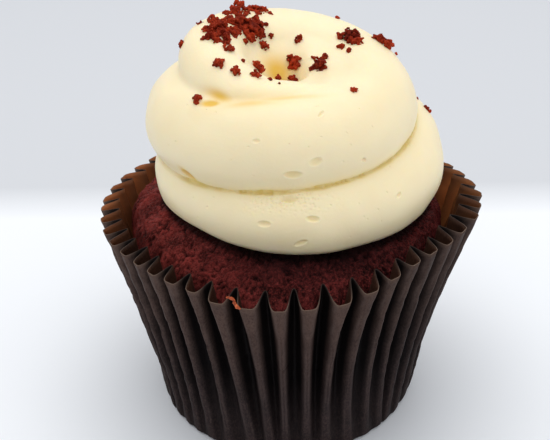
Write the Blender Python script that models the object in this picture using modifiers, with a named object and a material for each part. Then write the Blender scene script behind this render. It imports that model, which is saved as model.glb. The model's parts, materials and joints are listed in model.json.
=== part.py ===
"""Cupcake in its pleated paper case, with piped frosting and loose cake crumbs.

Metres, +Z up. The origin is the centre of the flat base, on the surface it stands on.
Angles run from the front (-Y) towards the right (+X).
"""

import math
import random

import bmesh
import bpy
from mathutils import Euler, Matrix, Vector
from mathutils.bvhtree import BVHTree

MM = 0.001
COLLECTION_NAME = "cupcake"
GAP = 0.3 * MM

# Paper case: flat round base, pleated wall that widens to an uneven rim
PLEATS = 46
FIRST_LOBE = math.radians(-65.81)
BASE_RADIUS = 26.15 * MM
BASE_OVAL = 1.25 * MM
BASE_ROUNDING = 1.1 * MM
RIM_RADIUS = 36.5 * MM
RIM_HEIGHT = 40.0 * MM
RIM_SHIFT = Vector((1.52 * MM, -0.35 * MM, 0.0))
PAPER_THICKNESS = 0.3 * MM
PLEAT_DEPTH_AT_BASE = 0.8 * MM
PLEAT_DEPTH_AT_RIM = 4.1 * MM
LOBE_BREADTH = 3.5
WALL_HOLLOW = 0.16
PRESSED_IN = 0.6 * MM
INNER_FOLD_RISE = 1.4 * MM
CASE_STEPS = (0.0, 0.03, 0.5, 1.0)
PLEAT_SAMPLES = (0.0, 0.14, 0.29, 0.5, 0.71, 0.86)

# How far the rim is out of round, by how often each wave repeats: towards the front, and right
RIM_WAVES = {
    1: (0.37 * MM, -1.22 * MM),
    2: (2.16 * MM, 1.07 * MM),
    3: (-0.30 * MM, -0.46 * MM),
    4: (1.43 * MM, -0.25 * MM),
}
RIM_TILT_FRONT = 0.97 * MM
RIM_TILT_RIGHT = 1.95 * MM

# Cake: fills the case and rises in a low dome
CAKE_CLEARANCE = 0.65 * MM
CAKE_FILLS_LOBES = 0.35
CAKE_DRAWN_IN = 0.7 * MM
CAKE_SHOULDER_HEIGHT = 33.5 * MM
CAKE_SIDE_HEIGHTS = (2.0 * MM, 12.0 * MM, 23.0 * MM, 33.5 * MM)
DOME_TOP = 47.2 * MM
DOME_FALL = 9.5
DOME_RINGS = (0.985, 0.95, 0.86, 0.72, 0.5, 0.25)
CAKE_ROUGHNESS = 0.8
PAPER_ROUGHNESS = 0.6

# Frosting: one rope wound up in a swirl that ends in the hollow of its last coil
SWIRL_CENTRE = Vector((1.7 * MM, 1.1 * MM, 0.0))
SWIRL_STEPS_PER_TURN = 40
ROPE_BEVEL = 6
# Turns from the left side, by way of the front; distance from the axis; height; rope radius (mm)
SWIRL = (
    (-0.11, 16.0, 46.5, 2.0),
    (-0.09, 16.2, 46.3, 4.6),
    (-0.05, 16.8, 45.9, 7.2),
    (0.00, 17.2, 45.6, 8.1),
    (0.125, 17.3, 45.6, 8.3),
    (0.25, 18.6, 45.2, 8.9),
    (0.375, 18.6, 46.3, 9.1),
    (0.50, 18.9, 47.6, 9.6),
    (0.75, 18.4, 52.0, 10.2),
    (1.00, 16.8, 56.3, 9.9),
    (1.25, 15.3, 57.2, 9.4),
    (1.50, 13.6, 58.6, 9.2),
    (1.75, 13.8, 62.8, 8.6),
    (2.00, 13.8, 67.0, 6.3),
    (2.12, 13.9, 64.5, 5.7),
    (2.19, 13.4, 63.0, 5.3),
    (2.25, 12.5, 62.6, 5.0),
    (2.50, 11.5, 60.6, 3.6),
)
# The filling inside the coils: below, a wide foot; above, a lip with slopes down to a small hollow
FILLING_FOOT = ((17.0, 40.0), (17.0, 46.0), (14.0, 54.0), (11.5, 60.0))
FILLING_COLUMNS = 32
HOLLOW = (0.9, -1.4, 59.5)
HOLLOW_BREADTH = 1.2
# Shares of the way out from the hollow to the lip at which its slope has a ring
SLOPE_RINGS = (1.0, 0.8, 0.6, 0.4, 0.25, 0.12)
# Degrees from the front towards the right; reach and height in the coil; reach and height of the
# lip; how straight the slope below the lip is (mm)
SLOPES = (
    (0, 10.0, 67.2, 7.8, 67.3, 0.7),
    (30, 11.0, 66.9, 4.9, 67.4, 0.7),
    (60, 11.5, 66.9, 4.2, 67.3, 0.7),
    (90, 11.5, 66.9, 4.2, 67.2, 0.7),
    (135, 11.5, 68.2, 6.0, 67.9, 0.7),
    (180, 11.7, 69.9, 11.0, 69.7, 0.6),
    (225, 11.9, 71.9, 11.8, 71.8, 0.6),
    (270, 10.5, 72.2, 10.4, 72.2, 0.6),
    (315, 9.8, 69.5, 9.7, 69.5, 0.6),
    (360, 10.0, 67.2, 7.8, 67.3, 0.7),
)
MERGE_DISTANCE = 0.01 * MM
CUTTER_SEGMENTS = 48
CUTTER_REACH = 38.0 * MM
CUTTER_RINGS = 6
CUTTER_FLOOR = 20.0 * MM
FROSTING_VOXEL = 0.8 * MM
FROSTING_SMOOTHING = 2
FROSTING_SOFTNESS = 0.5
FROSTING_ROUGHNESS = 0.45
FROSTING_TRIANGLES = 3900

# Crumbs lie where a line of sight from the photograph's viewpoint meets the frosting
VIEWPOINT = Vector((1.52, -194.61, 141.12)) * MM
VIEW_TURN = Euler((math.radians(61.37), math.radians(0.98), math.radians(0.37)))
VIEW_WIDTH, VIEW_HEIGHT = 550, 440
VIEW_LENGTH = 1158.1
SWIRL_MIDDLE = (290, 110)
SIGHT_STEPS = 40
SIGHT_REACH = 0.4
# Pixels across and down, and breadth (mm)
CRUMBS = (
    (200, 23, 1.1), (182, 44, 1.5), (214, 21, 2.6), (218, 29, 3.2), (212, 36, 2.3),
    (224, 35, 2.6), (231, 32, 2.2), (227, 13, 1.4), (239, 4, 2.0), (236, 12, 2.2),
    (242, 22, 3.2), (250, 27, 3.0), (260, 25, 2.3), (260, 33, 1.9), (250, 37, 2.2),
    (253, 9, 2.2), (263, 10, 1.9), (229, 48, 1.9), (264, 45, 1.6), (298, 38, 1.6),
    (219, 62, 1.9), (236, 70, 1.8), (257, 67, 2.3), (256, 75, 1.7), (293, 61, 2.3),
    (292, 80, 1.9), (198, 98, 1.8), (319, 65, 3.0), (325, 57, 1.4), (349, 36, 3.1),
    (357, 41, 2.0), (341, 46, 1.4), (381, 38, 2.0), (388, 43, 2.0), (354, 89, 1.3),
    (427, 109, 1.4),
)
CRUMB_SUNK = 0.3
CRUMB_ROUGHNESS = 0.22
CRUMB_SEED = 7

COLOURS = {
    "paper_case": (0.045, 0.033, 0.03),
    "cake": (0.105, 0.017, 0.014),
    "frosting": (0.86, 0.76, 0.52),
}


def clear_scene():
    for item in list(bpy.data.objects):
        bpy.data.objects.remove(item, do_unlink=True)


def new_collection(name):
    collection = bpy.data.collections.new(name)
    bpy.context.scene.collection.children.link(collection)
    return collection


def new_material(name, roughness):
    material = bpy.data.materials.new(name)
    material.use_nodes = True
    shader = material.node_tree.nodes["Principled BSDF"]
    shader.inputs["Base Color"].default_value = (*COLOURS[name], 1.0)
    shader.inputs["Roughness"].default_value = roughness
    shader.inputs["Metallic"].default_value = 0.0
    return material


def new_object(name, mesh, collection, roughness=None):
    item = bpy.data.objects.new(name, mesh)
    collection.objects.link(item)
    if roughness is not None:
        mesh.materials.clear()
        mesh.materials.append(new_material(name, roughness))
    return item


def evaluated_mesh(item):
    bpy.context.view_layer.update()
    graph = bpy.context.evaluated_depsgraph_get()
    return bpy.data.meshes.new_from_object(item.evaluated_get(graph))


def loft(rows, centre_top=None):
    """Mesh through rings of points: a flat floor below, open or drawn to a point above."""
    shape = bmesh.new()
    rings = [[shape.verts.new(point) for point in row] for row in rows]
    count = len(rings[0])
    shape.faces.new(reversed(rings[0]))
    for lower, upper in zip(rings, rings[1:]):
        for i in range(count):
            j = (i + 1) % count
            shape.faces.new((lower[i], lower[j], upper[j], upper[i]))
    if centre_top is not None:
        tip = shape.verts.new(centre_top)
        for i in range(count):
            shape.faces.new((rings[-1][i], rings[-1][(i + 1) % count], tip))
    mesh = bpy.data.meshes.new("loft")
    shape.to_mesh(mesh)
    shape.free()
    return mesh


def around(angle, radius, height):
    """Point at an angle about the case's axis, which leans from the base to the rim."""
    lean = min(height / RIM_HEIGHT, 1.0)
    return Vector((
        radius * math.sin(angle) + lean * RIM_SHIFT.x,
        -radius * math.cos(angle) + lean * RIM_SHIFT.y,
        height,
    ))


def base_radius(angle):
    """The base is a little longer from front to back than across."""
    return BASE_RADIUS + BASE_OVAL * math.cos(2 * angle)


def rim_radius(angle):
    radius = RIM_RADIUS
    for repeat, (front, right) in RIM_WAVES.items():
        radius += front * math.cos(repeat * angle) + right * math.sin(repeat * angle)
    return radius


def rim_height(angle):
    return RIM_HEIGHT + RIM_TILT_FRONT * math.cos(angle) + RIM_TILT_RIGHT * math.sin(angle)


def lobe_radius(angle, rise):
    """Outermost radius of the wall, with rise 0 at the base and 1 at the rim."""
    spread = rise - WALL_HOLLOW * rise * (1.0 - rise)
    pressed = PRESSED_IN * abs(math.sin(angle)) ** 3 * (4.0 * rise * (1.0 - rise)) ** 2
    base = base_radius(angle)
    return base + (rim_radius(angle) - base) * spread - pressed


def pleat_depth(rise):
    return PLEAT_DEPTH_AT_BASE + (PLEAT_DEPTH_AT_RIM - PLEAT_DEPTH_AT_BASE) * rise


def lobe_share(turn):
    """Cross-section of a pleat: 0 at an inner fold, where turn is whole, and 1 at a lobe."""
    return 1.0 - abs(math.sin(math.pi * (turn - 0.5))) ** LOBE_BREADTH


def pleat_angle(turn):
    return FIRST_LOBE + (turn - 0.5) * math.tau / PLEATS


def case_point(turn, rise):
    angle = pleat_angle(turn)
    share = lobe_share(turn)
    radius = lobe_radius(angle, rise) - pleat_depth(rise) * (1.0 - share)
    if rise == 0.0:
        radius -= BASE_ROUNDING
    height = rise * (rim_height(angle) + INNER_FOLD_RISE * (1.0 - share))
    return around(angle, radius, height)


def build_case(collection):
    turns = [pleat + sample for pleat in range(PLEATS) for sample in PLEAT_SAMPLES]
    rows = [[case_point(turn, rise) for turn in turns] for rise in CASE_STEPS]
    case = new_object("paper_case", loft(rows), collection, PAPER_ROUGHNESS)
    wall = case.modifiers.new("paper", "SOLIDIFY")
    wall.thickness = PAPER_THICKNESS
    wall.offset = -1.0


def cake_radius(turn, height):
    """The cake swells into the lobes at front and back, and draws in from the case at the sides."""
    angle = pleat_angle(turn)
    rise = height / rim_height(angle)
    fold = lobe_radius(angle, rise) - pleat_depth(rise)
    into_lobe = CAKE_FILLS_LOBES * pleat_depth(rise) * lobe_share(turn) * math.cos(angle) ** 2
    drawn_in = CAKE_DRAWN_IN * (rise * math.sin(angle)) ** 2
    return fold - CAKE_CLEARANCE + into_lobe - drawn_in


def dome_height(radius):
    return DOME_TOP - DOME_FALL * radius * radius


def build_cake(collection):
    turns = [step / 2 for step in range(2 * PLEATS)]
    floor = PAPER_THICKNESS + GAP
    first = CAKE_SIDE_HEIGHTS[0]
    rows = [[
        around(pleat_angle(turn), cake_radius(turn, first) - BASE_ROUNDING, floor)
        for turn in turns
    ]]
    for height in CAKE_SIDE_HEIGHTS:
        rows.append([around(pleat_angle(turn), cake_radius(turn, height), height) for turn in turns])
    for share in DOME_RINGS:
        row = []
        for turn in turns:
            radius = share * cake_radius(turn, CAKE_SHOULDER_HEIGHT)
            row.append(around(pleat_angle(turn), radius, dome_height(radius)))
        rows.append(row)
    top = around(0.0, 0.0, DOME_TOP)
    new_object("cake", loft(rows, centre_top=top), collection, CAKE_ROUGHNESS)


def swirl_value(turn, column):
    """Smooth value of one column of SWIRL between its rows."""
    turns = [row[0] for row in SWIRL]
    values = [row[column] for row in SWIRL]
    index = max(i for i in range(len(turns) - 1) if turns[i] <= turn or i == 0)
    slopes = []
    for i in (index, index + 1):
        before, after = max(i - 1, 0), min(i + 1, len(turns) - 1)
        slopes.append((values[after] - values[before]) / (turns[after] - turns[before]))
    span = turns[index + 1] - turns[index]
    t = (turn - turns[index]) / span
    start, end = values[index], values[index + 1]
    return (
        start * (2 * t ** 3 - 3 * t ** 2 + 1)
        + end * (3 * t ** 2 - 2 * t ** 3)
        + slopes[0] * span * (t ** 3 - 2 * t ** 2 + t)
        + slopes[1] * span * (t ** 3 - t ** 2)
    )


def rope_mesh(cutters):
    first, last = SWIRL[0][0], SWIRL[-1][0]
    steps = int((last - first) * SWIRL_STEPS_PER_TURN) + 1
    curve = bpy.data.curves.new("rope", "CURVE")
    curve.dimensions = "3D"
    curve.bevel_depth = MM
    curve.bevel_resolution = ROPE_BEVEL
    curve.use_fill_caps = True
    line = curve.splines.new("POLY")
    line.points.add(steps - 1)
    for i in range(steps):
        turn = first + (last - first) * i / (steps - 1)
        angle = turn * math.tau - math.pi / 2
        distance = swirl_value(turn, 1) * MM
        point = SWIRL_CENTRE + Vector((distance * math.sin(angle), -distance * math.cos(angle), 0.0))
        line.points[i].co = (point.x, point.y, swirl_value(turn, 2) * MM, 1.0)
        line.points[i].radius = swirl_value(turn, 3)
    rope = new_object("rope", curve, cutters)
    mesh = evaluated_mesh(rope)
    bpy.data.objects.remove(rope)
    return mesh


def slope_value(degrees, column):
    """Value of one column of SLOPES between its rows."""
    after = next(i for i in range(1, len(SLOPES)) if SLOPES[i][0] >= degrees)
    low, high = SLOPES[after - 1], SLOPES[after]
    share = (degrees - low[0]) / (high[0] - low[0])
    return low[column] + (high[column] - low[column]) * share


def filling_mesh():
    """What fills the coils: a foot, a lip, and slopes down to the hollow."""
    turns = [i / FILLING_COLUMNS for i in range(FILLING_COLUMNS)]

    def point(turn, reach, height):
        right = HOLLOW[0] + reach * math.sin(turn * math.tau)
        back = HOLLOW[1] - reach * math.cos(turn * math.tau)
        return Vector((right, back, height)) * MM

    slopes = [[slope_value(turn * 360, column) for column in range(len(SLOPES[0]))] for turn in turns]
    rows = [[point(turn, reach, height) for turn in turns] for reach, height in FILLING_FOOT]
    rows.append([point(turn, slope[1], slope[2]) for turn, slope in zip(turns, slopes)])
    for share in SLOPE_RINGS:
        row = []
        for turn, (_, _, _, reach, height, power) in zip(turns, slopes):
            rise = max(share - HOLLOW_BREADTH / reach, 0.0) ** power
            row.append(point(turn, share * reach, HOLLOW[2] + (height - HOLLOW[2]) * rise))
        rows.append(row)
    return loft(rows, centre_top=point(0.0, 0.0, HOLLOW[2]))


def dome_cutter(cutters):
    """What the frosting is cut by: the cake's dome, raised by the gap."""
    axis = around(0.0, 0.0, DOME_TOP)
    outline = bpy.data.meshes.new("dome_cutter")
    radii = [CUTTER_REACH * i / CUTTER_RINGS for i in range(CUTTER_RINGS + 1)]
    points = [(radius, 0.0, dome_height(radius) + GAP) for radius in radii]
    points += [(CUTTER_REACH, 0.0, CUTTER_FLOOR), (0.0, 0.0, CUTTER_FLOOR)]
    outline.from_pydata(points, [(i, i + 1) for i in range(len(points) - 1)], [])
    cutter = new_object("dome_cutter", outline, cutters)
    cutter.location = (axis.x, axis.y, 0.0)
    cutter.display_type = "WIRE"
    cutter.hide_render = True
    turned = cutter.modifiers.new("turned", "SCREW")
    turned.steps = CUTTER_SEGMENTS
    turned.render_steps = CUTTER_SEGMENTS
    turned.use_merge_vertices = True
    turned.merge_threshold = MERGE_DISTANCE
    return cutter


def swirl_mesh(cutters):
    """The rope and its filling as overlapping closed bodies in one mesh."""
    shape = bmesh.new()
    shape.from_mesh(rope_mesh(cutters))
    shape.from_mesh(filling_mesh())
    bmesh.ops.remove_doubles(shape, verts=shape.verts, dist=MERGE_DISTANCE)
    mesh = bpy.data.meshes.new("swirl")
    shape.to_mesh(mesh)
    shape.free()
    return mesh


def largest_piece(mesh):
    """The mesh without loose scraps."""
    shape = bmesh.new()
    shape.from_mesh(mesh)
    left = set(shape.verts)
    pieces = []
    while left:
        piece = set()
        reached = [left.pop()]
        while reached:
            vertex = reached.pop()
            piece.add(vertex)
            near = {edge.other_vert(vertex) for edge in vertex.link_edges} & left
            left -= near
            reached.extend(near)
        pieces.append(piece)
    pieces.sort(key=len)
    scraps = [vertex for piece in pieces[:-1] for vertex in piece]
    bmesh.ops.delete(shape, geom=scraps, context="VERTS")
    shape.to_mesh(mesh)
    shape.free()
    return mesh


def bake(item):
    """Replace an object's mesh with what its modifiers make of it."""
    mesh = largest_piece(evaluated_mesh(item))
    item.modifiers.clear()
    item.data = mesh


def sight_point(tree, across, down):
    """Where the line of sight through a pixel meets the surface, or the nearest pixel that does."""
    turn = VIEW_TURN.to_matrix()
    for step in range(SIGHT_STEPS):
        share = step / SIGHT_STEPS * SIGHT_REACH
        x = across + (SWIRL_MIDDLE[0] - across) * share
        y = down + (SWIRL_MIDDLE[1] - down) * share
        ray = turn @ Vector((x - VIEW_WIDTH / 2, VIEW_HEIGHT / 2 - y, -VIEW_LENGTH))
        place, normal, _, _ = tree.ray_cast(VIEWPOINT, ray.normalized())
        if place is not None:
            return place, normal
    raise ValueError(f"no frosting at {across}, {down}")


def crumb_mesh(place, breadth, rng):
    shape = bmesh.new()
    bmesh.ops.create_icosphere(shape, subdivisions=1, radius=breadth / 2)
    turn = Euler([rng.uniform(0.0, math.tau) for _ in range(3)]).to_matrix()
    flat = Vector((1.0, rng.uniform(0.75, 1.0), rng.uniform(0.65, 0.9)))
    for vertex in shape.verts:
        uneven = 1.0 + rng.uniform(-CRUMB_ROUGHNESS, CRUMB_ROUGHNESS)
        vertex.co = place + turn @ (vertex.co * flat * uneven)
    mesh = bpy.data.meshes.new("crumb")
    shape.to_mesh(mesh)
    shape.free()
    return mesh


def lay_crumbs(frosting):
    """Fuse the crumbs to the frosting under them."""
    crumbs = new_collection("crumbs")
    rng = random.Random(CRUMB_SEED)
    tree = BVHTree.FromObject(frosting, bpy.context.evaluated_depsgraph_get())
    for across, down, breadth in CRUMBS:
        place, normal = sight_point(tree, across, down)
        middle = place + normal * breadth * MM * (0.5 - CRUMB_SUNK)
        new_object("crumb", crumb_mesh(middle, breadth * MM, rng), crumbs)
    union = frosting.modifiers.new("crumbs", "BOOLEAN")
    union.operation = "UNION"
    union.operand_type = "COLLECTION"
    union.collection = crumbs
    bake(frosting)
    for crumb in list(crumbs.objects):
        bpy.data.objects.remove(crumb)
    bpy.data.collections.remove(crumbs)


def build_frosting(collection, cutters):
    frosting = new_object("frosting", swirl_mesh(cutters), collection)
    skin = frosting.modifiers.new("one_skin", "REMESH")
    skin.mode = "VOXEL"
    skin.voxel_size = FROSTING_VOXEL
    soft = frosting.modifiers.new("soft", "SMOOTH")
    soft.factor = FROSTING_SOFTNESS
    soft.iterations = FROSTING_SMOOTHING
    full = len(evaluated_mesh(frosting).polygons) * 2
    fewer = frosting.modifiers.new("fewer", "DECIMATE")
    fewer.ratio = FROSTING_TRIANGLES / full
    seat = frosting.modifiers.new("seat", "BOOLEAN")
    seat.operation = "DIFFERENCE"
    seat.object = dome_cutter(cutters)
    bake(frosting)
    lay_crumbs(frosting)
    frosting.data.materials.clear()
    frosting.data.materials.append(new_material("frosting", FROSTING_ROUGHNESS))


def main():
    clear_scene()
    collection = new_collection(COLLECTION_NAME)
    cutters = new_collection("cutters")
    build_case(collection)
    build_cake(collection)
    build_frosting(collection, cutters)


main()
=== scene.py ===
"""Looks of the cupcake: pleated baking paper, moist red sponge, piped frosting, loose crumbs."""

import json
import math
import random

import bmesh
import bpy
import numpy as np
from mathutils import Euler, Matrix, Vector, noise
from mathutils.bvhtree import BVHTree

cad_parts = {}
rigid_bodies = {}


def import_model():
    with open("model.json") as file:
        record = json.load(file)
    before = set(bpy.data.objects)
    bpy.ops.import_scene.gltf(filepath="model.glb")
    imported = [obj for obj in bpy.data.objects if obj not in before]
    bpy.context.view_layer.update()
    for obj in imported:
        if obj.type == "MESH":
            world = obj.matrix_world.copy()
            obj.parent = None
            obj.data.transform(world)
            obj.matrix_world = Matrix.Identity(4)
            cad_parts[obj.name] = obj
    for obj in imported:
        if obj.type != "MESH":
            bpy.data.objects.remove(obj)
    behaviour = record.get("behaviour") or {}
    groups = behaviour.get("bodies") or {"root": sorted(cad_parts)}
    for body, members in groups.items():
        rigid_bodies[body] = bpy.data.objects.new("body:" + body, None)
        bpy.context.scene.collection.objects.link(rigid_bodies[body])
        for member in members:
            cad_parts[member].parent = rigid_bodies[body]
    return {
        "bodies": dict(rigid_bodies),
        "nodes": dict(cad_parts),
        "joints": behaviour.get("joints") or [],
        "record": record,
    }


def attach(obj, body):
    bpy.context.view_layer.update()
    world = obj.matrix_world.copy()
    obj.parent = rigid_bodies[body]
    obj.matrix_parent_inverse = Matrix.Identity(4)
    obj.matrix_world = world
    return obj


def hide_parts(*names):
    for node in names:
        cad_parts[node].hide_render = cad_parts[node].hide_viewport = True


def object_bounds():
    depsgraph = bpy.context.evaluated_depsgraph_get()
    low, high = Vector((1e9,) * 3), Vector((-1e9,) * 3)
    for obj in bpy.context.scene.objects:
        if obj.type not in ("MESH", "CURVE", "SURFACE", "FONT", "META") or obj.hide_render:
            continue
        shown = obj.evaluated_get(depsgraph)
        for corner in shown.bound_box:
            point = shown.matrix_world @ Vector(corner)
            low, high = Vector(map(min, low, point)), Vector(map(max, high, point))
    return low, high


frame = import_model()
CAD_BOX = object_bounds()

MM = 0.001

# The photograph's viewpoint, which also places the crumbs and the pits in the frosting
VIEWPOINT = Vector((1.52, -194.61, 141.12)) * MM
VIEW_TURN = Euler((math.radians(61.37), math.radians(0.98), math.radians(0.37)))
VIEW_WIDTH, VIEW_HEIGHT = 550, 440
VIEW_LENGTH = 1158.1
SENSOR = 36.0

# Paper case: its form follows the frame's
PLEATS = 46
FIRST_LOBE = math.radians(-65.81)
BASE_RADIUS = 26.15 * MM
BASE_OVAL = 1.25 * MM
BASE_ROUNDING = 0.6 * MM
RIM_RADIUS = 36.5 * MM
RIM_HEIGHT = 40.0 * MM
RIM_SHIFT = (1.52 * MM, -0.35 * MM)
# Depth of the pleats (mm) by share of the wall's height
PLEAT_DEPTHS = ((0.0, 0.25), (0.07, 0.6), (0.2, 1.5), (0.5, 2.8), (1.0, 4.1))
WALL_HOLLOW = 0.16
# How far the wall is pressed in (mm) by share of its height: at the left, and at the right
PRESSED_LEFT = (
    (0.0, 0.35), (0.08, 0.45), (0.17, 0.60), (0.27, 0.60), (0.36, 0.40), (0.46, 0.28),
    (0.56, 0.28), (0.65, 0.20), (0.75, 0.10), (0.85, 0.0), (1.0, 0.0),
)
PRESSED_RIGHT = (
    (0.0, -0.45), (0.08, -0.40), (0.17, -0.15), (0.27, 0.28), (0.36, 0.60), (0.46, 0.64),
    (0.56, 0.65), (0.65, 0.62), (0.75, 0.44), (0.85, 0.17), (1.0, 0.0),
)
INNER_FOLD_RISE = 1.1 * MM
RIM_WAVES = {
    1: (0.37 * MM, -1.22 * MM),
    2: (2.16 * MM, 1.07 * MM),
    3: (-0.30 * MM, -0.46 * MM),
    4: (1.43 * MM, -0.25 * MM),
}
RIM_TILT_FRONT = 0.97 * MM
RIM_TILT_RIGHT = 1.95 * MM

# Finer make-up of the paper
PAPER_THICKNESS = 0.13 * MM
PLEAT_COLUMNS = 18
PLEAT_SEED = 11
# The pleats that the photograph shows, at the rim: how far the lobe is shifted to the right
# (pleats), how much further in (mm) and how much lower (mm) it is. The others get like values.
LOBES = {
    39: (0.02, 0.00, 0.05), 40: (0.01, 0.01, 0.05), 41: (0.02, 0.08, 0.18), 42: (0.04, 0.21, 0.32),
    43: (-0.05, 0.50, -0.01), 44: (0.00, 0.38, -0.09), 45: (0.02, 0.04, 0.03), 0: (-0.01, -0.16, 0.11),
    1: (0.00, -0.07, 0.09), 2: (0.03, 0.02, 0.06), 3: (0.04, 0.11, -0.07), 4: (0.05, 0.22, -0.29),
    5: (0.07, 0.24, -0.38), 6: (0.06, -0.04, 0.16), 7: (0.05, -0.07, 0.21), 8: (0.05, 0.0, 0.60),
    9: (-0.10, 0.0, 0.70), 10: (-0.02, -0.15, 0.90), 11: (-0.04, -0.16, 0.40), 12: (-0.10, 0.13, -0.10),
    13: (-0.03, 0.32, -0.47), 14: (-0.07, 0.35, -0.38), 15: (-0.05, 0.13, -0.04), 16: (0.00, 0.09, -0.10),
    17: (0.13, -0.28, -0.25), 18: (0.06, -0.10, -0.18), 19: (0.03, -0.15, -0.16), 20: (0.07, 0.17, -0.09),
    21: (0.17, 0.38, 0.01), 22: (0.10, 0.18, 0.03),
}
# How far the middle of a pleat is shifted to the right, in pleats, half way down and at the foot
PLEAT_SHIFTS = {
    4: (0.20, 0.40), 5: (0.34, 0.50), 6: (0.36, 0.88), 7: (0.36, 0.70), 8: (0.20, 0.43),
    9: (0.12, 0.46), 10: (-0.03, 0.43), 11: (-0.07, 0.70), 12: (0.00, 0.84), 13: (-0.05, 0.90),
}
# Sharpness of the folds between broad lobes, by share of the wall's height
LOBE_BREADTHS = ((0.0, 3.2), (0.2, 2.4), (0.4, 2.0), (0.6, 1.9), (0.8, 2.5), (0.92, 4.3), (1.0, 7.0))
# A handling crease that crosses some of the pleats: height and breadth as shares of the wall's height
CREASED_PLEATS = (7, 8, 9)
CREASE_RISE = 0.60
CREASE_BREADTH = 0.009
CREASE_DEPTH = 0.35 * MM
# Share of the wall's height over which the foot is rounded
FOOT_RISE = 0.04
# Share that the foot has of a lobe's inward shift
SHIFT_AT_FOOT = 0.25
# Crinkles in the paper: their size and depth, and how far in they all lie
CRINKLE_SIZE = 2.6 * MM
CRINKLE_DEPTH = 0.22 * MM
CRINKLE_INWARD = 0.04 * MM
# Light lines beside the folds, partly wear and partly painted highlight: where the face's share has this
# value, and their breadth
LIGHT_LINE = 0.90
LIGHT_LINE_BREADTH = 0.06
# Share of the wall's height over which the rim is lighter
RIM_LIGHTER_RISE = 0.02

# Cake: how far it keeps clear of the paper, and the share of the lobes that it fills at the front
CAKE_COLUMNS = 22 * PLEATS
CAKE_CLEARANCE = 0.65 * MM
CAKE_FILL = 0.72
# Heights (mm) of the rings on its hidden side, of the first ring that can show and of its edge
HIDDEN_HEIGHTS = (0.6, 2.0, 12.0, 22.0, 28.0)
SHOWN_HEIGHT = 30.0
EDGE_HEIGHT = 34.0
CAKE_BEVEL = 1.3 * MM
# How far its left and right sides are drawn in at the rim
DRAWN_IN = 0.7 * MM
# Its rounded shoulder: share of the radius where it starts, its breadth and how full it is
SHOULDER_START = 0.93
SHOULDER_BREADTH = 0.065
SHOULDER_ROUNDING = 0.8
# Its dome falls from the top by the square of the distance (per metre)
DOME_TOP = 47.2 * MM
DOME_FALL = 9.5
# What can be seen of it lies above this height and beyond this distance from the middle
SEEN_ABOVE = 29.0 * MM
SEEN_BEYOND = 17.5 * MM
PORE_DEPTH = 1.0 * MM
CRACK_DEPTH = 0.50 * MM
RELIEF_LIMIT = 0.22 * MM
# Reach of the painted shadow under the frosting's edge, and the frosting's gap above the dome
CONTACT_REACH = 0.8 * MM
FAR_FROM_CONTACT = 9.0 * MM
GAP = 0.3 * MM

# Frosting, as the frame has it, but in finer steps
SWIRL_CENTRE = Vector((1.7 * MM, 1.1 * MM, 0.0))
SWIRL_STEPS_PER_TURN = 96
ROPE_SIDES = 64
# Turns from the left side, by way of the front; distance from the axis; height; rope radius (mm)
SWIRL = (
    (-0.11, 16.0, 46.5, 2.0),
    (-0.09, 16.2, 46.3, 4.6),
    (-0.05, 16.8, 45.9, 7.2),
    (0.00, 17.9, 46.6, 7.5),
    (0.125, 17.65, 46.0, 8.05),
    (0.25, 18.6, 45.2, 8.9),
    (0.375, 18.6, 46.1, 9.15),
    (0.50, 19.0, 48.1, 9.25),
    (0.75, 18.4, 52.0, 10.2),
    (1.00, 16.8, 56.3, 9.9),
    (1.25, 15.3, 57.2, 9.4),
    (1.50, 13.6, 58.6, 9.2),
    (1.75, 13.8, 62.8, 8.6),
    (2.00, 13.8, 67.0, 6.3),
    (2.12, 13.9, 64.5, 5.7),
    (2.19, 13.4, 63.0, 5.3),
    (2.25, 12.5, 62.6, 5.0),
    (2.50, 11.5, 60.6, 3.6),
)
# The filling inside the coils: below, a wide foot; above, a lip with slopes down to a small hollow
FILLING_FOOT = ((17.0, 40.0), (17.0, 46.0), (14.0, 54.0), (11.5, 60.0))
HOLLOW = (0.9, -1.4, 59.5)
HOLLOW_BREADTH = 1.2
FILLING_COLUMNS = 96
FILLING_RINGS = 25
# Degrees from the front towards the right; reach and height in the coil; reach and height of the lip;
# how straight the slope below the lip is (mm)
SLOPES = (
    (0, 10.0, 67.2, 7.8, 67.3, 0.7),
    (30, 11.0, 66.9, 4.9, 67.4, 0.7),
    (60, 11.5, 66.9, 4.2, 67.3, 0.7),
    (90, 11.5, 66.9, 4.2, 67.2, 0.7),
    (135, 11.5, 68.2, 6.0, 67.9, 0.7),
    (180, 11.7, 69.9, 11.0, 69.7, 0.6),
    (225, 11.9, 71.9, 11.8, 71.8, 0.6),
    (270, 10.5, 72.2, 10.4, 72.2, 0.6),
    (315, 9.8, 69.5, 9.7, 69.5, 0.6),
)
FROSTING_VOXEL = 0.34 * MM
FROSTING_SMOOTHING = 2
# Share of the triangles that is kept, the fewest where the surface is even
FROSTING_KEPT = 0.56
# The fold between one coil and the next: its groove, and the reach of the softer painted shade beside it
FOLD_STEPS_PER_TURN = 64
FOLD_FLAT = 0.16 * MM
FOLD_WIDTH = 0.20 * MM
FOLD_DEPTH = 0.50 * MM
FOLD_SHADE = 1.3 * MM
# The turn where the fold ends, and the place (mm) left of which its painted shade is paler
FOLD_END = 1.7
PALE_LEFT_OF = -16.5
PALE_BLEND = 2.0
# The lower edge where the frosting lies on the cake
UNDERCUT_HEIGHT = 2.0 * MM
UNDERCUT_DEPTH = 1.0 * MM
SEAT_SOFTNESS = 0.25 * MM
# The smooth bowl inside the coils: reach and height (mm) where it ends, with the blend of each
BOWL_REACH = 13.0
BOWL_REACH_BLEND = 5.0
BOWL_HEIGHT = 61.0
BOWL_HEIGHT_BLEND = 2.0
BOWL_SMOOTHING = 25

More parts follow.
